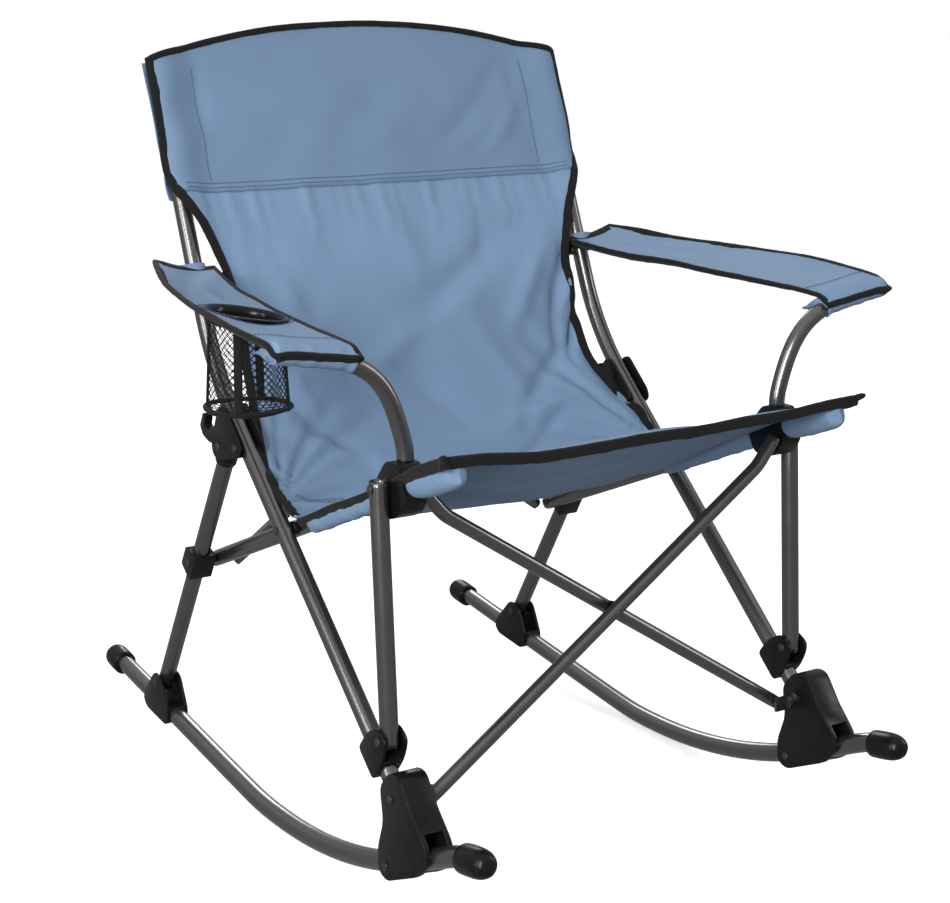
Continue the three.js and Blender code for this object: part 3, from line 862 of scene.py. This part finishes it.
def arm_outline():
    inner = through(ARM_INNER, 60)
    outer = through(ARM_OUTER, 60)[::-1]
    rear = np.linspace(inner[-1], outer[0], 8)[1:-1]
    front = np.linspace(outer[-1], inner[0], 16)[1:-1]
    return np.vstack([inner, rear, outer, front])


def arm_mesh(outline, hole, material, name, sign):
    """A cloth panel of triangles between its outline, an optional round hole and inner points."""
    low, high, step = outline.min(0), outline.max(0), 6.0
    across, along = (np.arange(low[k] + 4, high[k], step) for k in (0, 1))
    xs, ys = np.meshgrid(across, along)
    inside = np.stack([xs.ravel() + (ys.ravel() // step % 2) * step / 2, ys.ravel()], axis=1)
    points, loops = [tuple(p) for p in outline], [list(range(len(outline)))]
    if hole is not None:
        (cx, cy), radius = hole
        angles = np.linspace(0, 2 * math.pi, 48, endpoint=False)
        loops.append(list(range(len(points), len(points) + len(angles))))
        points += [(cx + radius * math.cos(a), cy + radius * math.sin(a)) for a in angles]
        inside = inside[np.hypot(inside[:, 0] - cx, inside[:, 1] - cy) > radius + 3]
    points += [tuple(p) for p in inside]
    edges = [(loop[i], loop[(i + 1) % len(loop)]) for loop in loops for i in range(len(loop))]
    made = geometry.delaunay_2d_cdt([Vector(p) for p in points], edges, [loops[0]], 1, 1e-4)
    flat, triangles = np.array([tuple(v) for v in made[0]]), made[2]
    if hole is not None:
        middle = np.array([flat[list(t)].mean(0) for t in triangles])
        keep = np.hypot(middle[:, 0] - cx, middle[:, 1] - cy) > radius
        triangles = [t for t, k in zip(triangles, keep) if k]
    used = sorted({i for t in triangles for i in t})
    index = {old: new for new, old in enumerate(used)}
    flat = flat[used]
    faces = [tuple(index[i] for i in t) for t in triangles]
    vertices = np.stack([sign * flat[:, 0], flat[:, 1], arm_height(flat[:, 0], flat[:, 1])], axis=1)
    if sign < 0:
        faces = [f[::-1] for f in faces]
    piece = mesh_piece(name, vertices, faces, material, flat * MM)
    solid = piece.modifiers.new("thickness", "SOLIDIFY")
    solid.thickness, solid.offset = 2.2 * MM, 0
    return piece


def on_arm(outline, sign, lift=0.0):
    """Points of an arm's outline, lift mm over its cloth."""
    x, y = outline[:, 0], outline[:, 1]
    return np.stack([sign * x, y, arm_height(x, y) + lift], axis=1)


ARM_POST_TOP = [(322, -295, 636), (348, -295, 648), (388, -296, 656), (434, -297, 664)]
# Section of the pocket round it: backwards from the post's middle, and up.
ARM_POCKET_SECTION = [
    (-9.8, 8.4), (-11.8, 5), (-12.6, 0), (-11.8, -5.2), (-9, -9.8), (-4.6, -12.8), (0, -13.4),
    (5.4, -12.8), (10, -11.2), (15, -8.4), (22, -4.2), (30, 1.6), (38, 4.4), (38, 6.0),
    (26, 5.4), (12, 8.8), (0, 11.8), (-6, 11.0),
]


def arm_pocket(side, sign):
    """The sewn pocket at the front of an arm, round the arm post's top and thinner to the rear."""
    path = through([(sign * x, y, z) for x, y, z in ARM_POST_TOP], 30)[6:]
    t = tangents(path)
    back = np.array([0.0, 1.0, 0.0])
    up = unit(np.cross(t, back)) * -sign
    section = np.array(ARM_POCKET_SECTION, float)
    wrinkle = 1 + 0.05 * waves(lengths(path), (31, 19), 81)
    backwards, upwards = section[:, 0] * wrinkle[:, None], section[:, 1] * wrinkle[:, None]
    sections = (path[:, None] + back * backwards[:, :, None]
                + up[:, None] * upwards[:, :, None])
    return skin(f"{side}_arm_pocket", sections, CLOTH)


def arm_loop(side, sign):
    """The cloth loop at an arm's rear end, round the back post, with a tape at its lower edge."""
    run, rise = POST_TOP[0] - POST_BEND[0], POST_TOP[1] - POST_BEND[1]
    angles = np.linspace(0, 2 * math.pi, 34, endpoint=False)
    # Its outboard side reaches out to the arm's cloth.
    reach = 13.6 + 16 * np.clip(np.cos(angles), 0, 1) ** 3
    backwards = np.cross(unit([0, run, rise]), (1.0, 0, 0))
    rows = []
    for z, swell in [(673, 0), (676, 0.5), (680, 0.9), (684, 0.9), (688, 0.5), (691, 0.0)]:
        y = POST_BEND[0] + (z - POST_BEND[1]) * run / rise
        centre = np.array([sign * FRAME_X, y, z])
        size = reach + swell + 0.5 * waves(angles * 30 + z, (47, 31), 83)
        rows.append(centre + (size * np.cos(angles))[:, None] * np.array([sign, 0, 0])
                    + (np.minimum(size, 14.4) * np.sin(angles))[:, None] * backwards)
    rows = np.array(rows)
    smooth = np.stack([through(rows[:, k], 14) for k in range(len(angles))], axis=1)
    cloth = skin(f"{side}_arm_loop", smooth, CLOTH)
    edge = tube(f"{side}_arm_loop_tape", smooth[1], 2.6, TAPE, sides=8, ring=True, flat=2.0)
    return [cloth, edge]


def arm_tape(side, sign, outline):
    """The tape round an arm, which turns down over the arm's outer and front edges."""
    centre = outline.mean(0)
    edge = evenly(on_arm(np.vstack([outline, outline[:1]]), sign), 7.0)[:-1]
    inward = np.cross(tangents(edge, True), UP)
    toward = np.array([sign * centre[0], centre[1], 0]) - edge
    flip = np.sign((inward * toward).sum(1))
    inward = inward * np.where(flip == 0, 1, np.sign(flip.sum()))[:, None]
    outer = np.clip(-inward[:, 0] * sign * 2, 0, 1) + np.clip(inward[:, 1] * 2, 0, 1)
    inward = unit(inward) - UP * np.clip(0.25 + outer, 0, 0.9)[:, None]
    return edge_tape(f"{side}_arm_tape", edge, inward, 72, ring=True, wide=1.05, thick=1.2)


def arms():
    for side, sign in SIDES.items():
        outline = arm_outline()
        hole = ((-CUP_CENTRE[0], CUP_CENTRE[1]), CUP_HOLE_RADIUS) if side == "right" else None
        panel = arm_mesh(outline, hole, CLOTH, f"{side}_arm_cloth", sign)
        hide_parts(f"{side}_arm_panel")
        tape = arm_tape(side, sign, outline)
        pocket = arm_pocket(side, sign)
        loop = arm_loop(side, sign)
        front = np.array([[x, -262 + 0.02 * (x - 333), 0] for x in np.linspace(340, 434, 20)])
        line = on_arm(front, sign, STITCH_LIFT)
        seam = stitches(f"{side}_arm_pocket_seam", line, UP, zigzag=0.3)
        pieces = [panel, tape, pocket, seam, *loop]
        if hole is not None:
            turn = np.linspace(0, 2 * math.pi, 80)
            circle = np.stack([np.cos(turn), np.sin(turn)], axis=1)
            line = on_arm(hole[0] + CUP_STITCH_RADIUS * circle, sign, STITCH_LIFT)
            pieces.append(stitches("cup_ring_stitch", line, UP, spacing=4.0))
        for piece in pieces:
            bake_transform(piece)
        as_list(pieces[1:])


# ---- cup holder ----
# The ring's section: radius, and height over the arm.
CUP_RING_SECTION = [
    (49.5, 0.4), (49.2, 1.9), (47, 2.8), (44.4, 2.4), (42.3, 0.6), (41.0, -4), (40.6, -9),
    (41.6, -9.4), (42.4, -5), (43.8, -1.4), (46, -0.6),
]
NET_STRANDS = 34
NET_TOP = 6.0
NET_TWIST = 45.0
CORD_RADIUS = 0.5
CUP_TAPE_ANGLES = (-2.25, -0.75, 0.8, 2.4)
CUP_HOOPS = (  # name, depth, radius, width
    ("cup_bottom_hoop", CUP_DEPTH - 2, 47.4, 4.6),
    ("cup_top_band", 9.0, 43.4, 3.4),
)


def cup_point(radius, angle, depth):
    """A point of the cup holder, depth below the arm's surface at its centre."""
    x = CUP_CENTRE[0] + radius * np.cos(angle)
    y = CUP_CENTRE[1] + radius * np.sin(angle)
    level = arm_slope(-CUP_CENTRE[0], CUP_CENTRE[1])
    # It leans with the arm at the top and hangs level from 40 mm down.
    tilt = np.clip(1 - depth / 40, 0, 1)
    return np.stack([x, y, 660 + level + (arm_slope(-x, y) - level) * tilt - depth], axis=-1)


def cup_radius(depth):
    """The net bulges a little between its ring and its bottom hoop."""
    return 42.5 + 5.0 * np.clip(depth / CUP_DEPTH, 0, 1) ** 1.4


def add_cord(vertices, faces, path):
    """Adds a thin four-sided strand along a path to the lists."""
    t = tangents(path)
    side = unit(np.cross(t, (0.2, 0.1, 0.97)))
    up = np.cross(side, t)
    base, last = len(vertices), len(vertices) + 4 * (len(path) - 1)
    for p, a, b in zip(path, side, up):
        a, b = CORD_RADIUS * a, CORD_RADIUS * b
        vertices.extend([p + a, p + b, p - a, p - b])
    faces.extend(tuple(base + i for i in f) for f in grid_faces(len(path), 4, loop=True))
    faces.extend([(base + 3, base + 2, base + 1, base), tuple(last + i for i in range(4))])


def cup_net():
    """The net's crossing strands: two spirals down the side, and a sagging grid below."""
    vertices, faces = [], []
    for way in (-1, 1):
        for k in range(NET_STRANDS):
            depth = np.linspace(NET_TOP, CUP_DEPTH, 26)
            angle = 2 * math.pi * k / NET_STRANDS + way * (depth - NET_TOP) / NET_TWIST
            angle = angle + 0.02 * waves(depth + 11 * k, (30, 47), 91)
            path = cup_point(cup_radius(depth) + 0.25 * way, angle, depth)
            add_cord(vertices, faces, path)
    for k in range(-6, 7):
        for way in (0, 1):
            offset = k * 7.2
            half = math.sqrt(max(47.0**2 - offset**2, 1))
            s = np.linspace(-half, half, 10)
            across = np.full_like(s, offset)
            a, b = (s, across) if way else (across, s)
            x, y = (a + b) * 0.7071, (a - b) * 0.7071
            sag = 9.0 * (1 - (np.hypot(x, y) / 47.5) ** 2)
            path = cup_point(np.hypot(x, y), np.arctan2(y, x), CUP_DEPTH + sag - 0.8 * way)
            add_cord(vertices, faces, path)
    net = mesh_piece("cup_net_mesh", vertices, faces, NET, np.zeros((len(vertices), 2)))
    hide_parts("cup_net")
    return net


def cup_parts():
    turn = np.linspace(0, 2 * math.pi, 96, endpoint=False)
    rows = []
    for radius, height in CUP_RING_SECTION:
        row = cup_point(radius, turn, 0.0)
        rows.append(np.stack([row[:, 0], row[:, 1], row[:, 2] + height], axis=1))
    ring = skin("cup_ring_moulded", np.array(rows).transpose(1, 0, 2), GLOSS, ring=True)
    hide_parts("cup_ring")

    pieces = [cup_net()]
    for k, angle in enumerate(CUP_TAPE_ANGLES):
        depth = np.linspace(3, CUP_DEPTH + 1, 24)
        path = cup_point(cup_radius(depth) + 0.9, np.full_like(depth, angle), depth)
        out = np.array([math.cos(angle), math.sin(angle), 0])
        tape = tube(f"cup_tape_{k + 1}", path, 5.0, TAPE, sides=12, flat=0.2, across=out)
        pieces.append(tape)
    wave = waves(turn, (math.pi, 2 * math.pi / 3), 93)
    for name, depth, radius, width in CUP_HOOPS:
        path = cup_point(radius + 0.7 * wave, turn, depth + 1.6 * wave)
        pieces.append(tube(name, path, width, TAPE, sides=12, ring=True, flat=0.55))
    for piece in [ring, *pieces]:
        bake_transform(piece)


# ---- studio ----
LIGHTS = [  # name, place, target, width, power
    ("key", (-2.8, -2.3, 1.6), (0, 0, 0.6), 0.8, 124),
    ("fill", (3.0, -1.6, 1.5), (0, 0, 0.5), 0.7, 22),
    ("left_strip", (-3.0, -0.6, 1.4), (0, 0, 0.5), 0.5, 26),
    ("rim", (1.4, 2.8, 2.0), (0, 0, 0.7), 0.9, 30),
]


LIGHT_HEIGHT = 1.9
FLOOR_REACH = 90000


def studio():
    scene = bpy.context.scene
    ways = ((-1, -1), (1, -1), (1, 1), (-1, 1))
    corners = [(FLOOR_REACH * x, FLOOR_REACH * y, 0) for x, y in ways]
    floor = mesh_piece("floor", corners, [(0, 1, 2, 3)], floor_material())
    # In the photo, a cut-out on white, no floor lights the chair or shows in its tubes.
    floor.visible_diffuse = floor.visible_glossy = False
    scene.world = bpy.data.worlds.new("studio")
    scene.world.use_nodes = True
    white_room(scene.world.node_tree)
    for name, place, target, width, power in LIGHTS:
        light = bpy.data.lights.new(name, "AREA")
        light.shape, light.size, light.size_y = "RECTANGLE", width, LIGHT_HEIGHT
        light.energy = power
        lamp = bpy.data.objects.new(name, light)
        scene.collection.objects.link(lamp)
        lamp.location = place
        lamp.rotation_mode = "QUATERNION"
        lamp.rotation_quaternion = (Vector(target) - Vector(place)).to_track_quat("-Z", "Y")
    scene.view_settings.view_transform = "Standard"


def white_room(tree):
    """A bright ceiling over darker walls, which the camera sees as plain white."""
    add, link = tree.nodes.new, tree.links.new
    sky, paper = tree.nodes["Background"], add("ShaderNodeBackground")
    paper.inputs["Color"].default_value = (1, 1, 1, 1)
    axes, height = add("ShaderNodeSeparateXYZ"), add("ShaderNodeMapRange")
    link(add("ShaderNodeTexCoord").outputs["Generated"], axes.inputs[0])
    link(axes.outputs["Z"], height.inputs["Value"])
    brightness = {"From Min": 0.05, "From Max": 0.9, "To Min": 0.3, "To Max": 0.8}
    for key, value in brightness.items():
        height.inputs[key].default_value = value
    sky.inputs["Color"].default_value = (0.97, 0.98, 1.0, 1)
    link(height.outputs["Result"], sky.inputs["Strength"])
    seen = add("ShaderNodeMixShader")
    link(add("ShaderNodeLightPath").outputs["Is Camera Ray"], seen.inputs[0])
    link(sky.outputs[0], seen.inputs[1])
    link(paper.outputs[0], seen.inputs[2])
    link(seen.outputs[0], tree.nodes["World Output"].inputs["Surface"])


def floor_material():
    """White paper that glows a little, so that it stays white away from the lights."""
    g = Graph("floor", Roughness=0.9, Specular_IOR_Level=0.1)
    g.set(g.shader, {"Emission_Color": (1, 1, 1, 1), "Emission_Strength": 0.4})
    place = g.add("TexCoord", {}).outputs["Object"]
    paper = g.mix(g.noise(place, 1.5), (0.93, 0.93, 0.93), (0.96, 0.96, 0.96))
    g.set(g.shader, {"Base_Color": paper})
    return g.material


# The photo's camera, as solved from matching points of the two side frames.
CAMERA_AZIMUTH = math.radians(-32.885)
CAMERA_ELEVATION = math.radians(13.342)
CAMERA_PLACE = (-1.3264, -2.0670, 1.0270)
CAMERA_LENS = 73.06


def camera():
    data = bpy.data.cameras.new("camera")
    data.lens, data.sensor_width = CAMERA_LENS, 36
    data.clip_start, data.clip_end = 0.05, 60
    eye = bpy.data.objects.new("camera", data)
    level = math.cos(CAMERA_ELEVATION)
    back = Vector((math.sin(CAMERA_AZIMUTH) * level, -math.cos(CAMERA_AZIMUTH) * level,
                   math.sin(CAMERA_ELEVATION)))
    eye.location = CAMERA_PLACE
    eye.rotation_mode = "QUATERNION"
    eye.rotation_quaternion = (-back).to_track_quat("-Z", "Y")
    bpy.context.scene.collection.objects.link(eye)
    bpy.context.scene.camera = eye


camera()
studio()
frame_pieces()
rivets()
sling_back()
sling_seat()
rail_sleeves()
arms()
cup_parts()
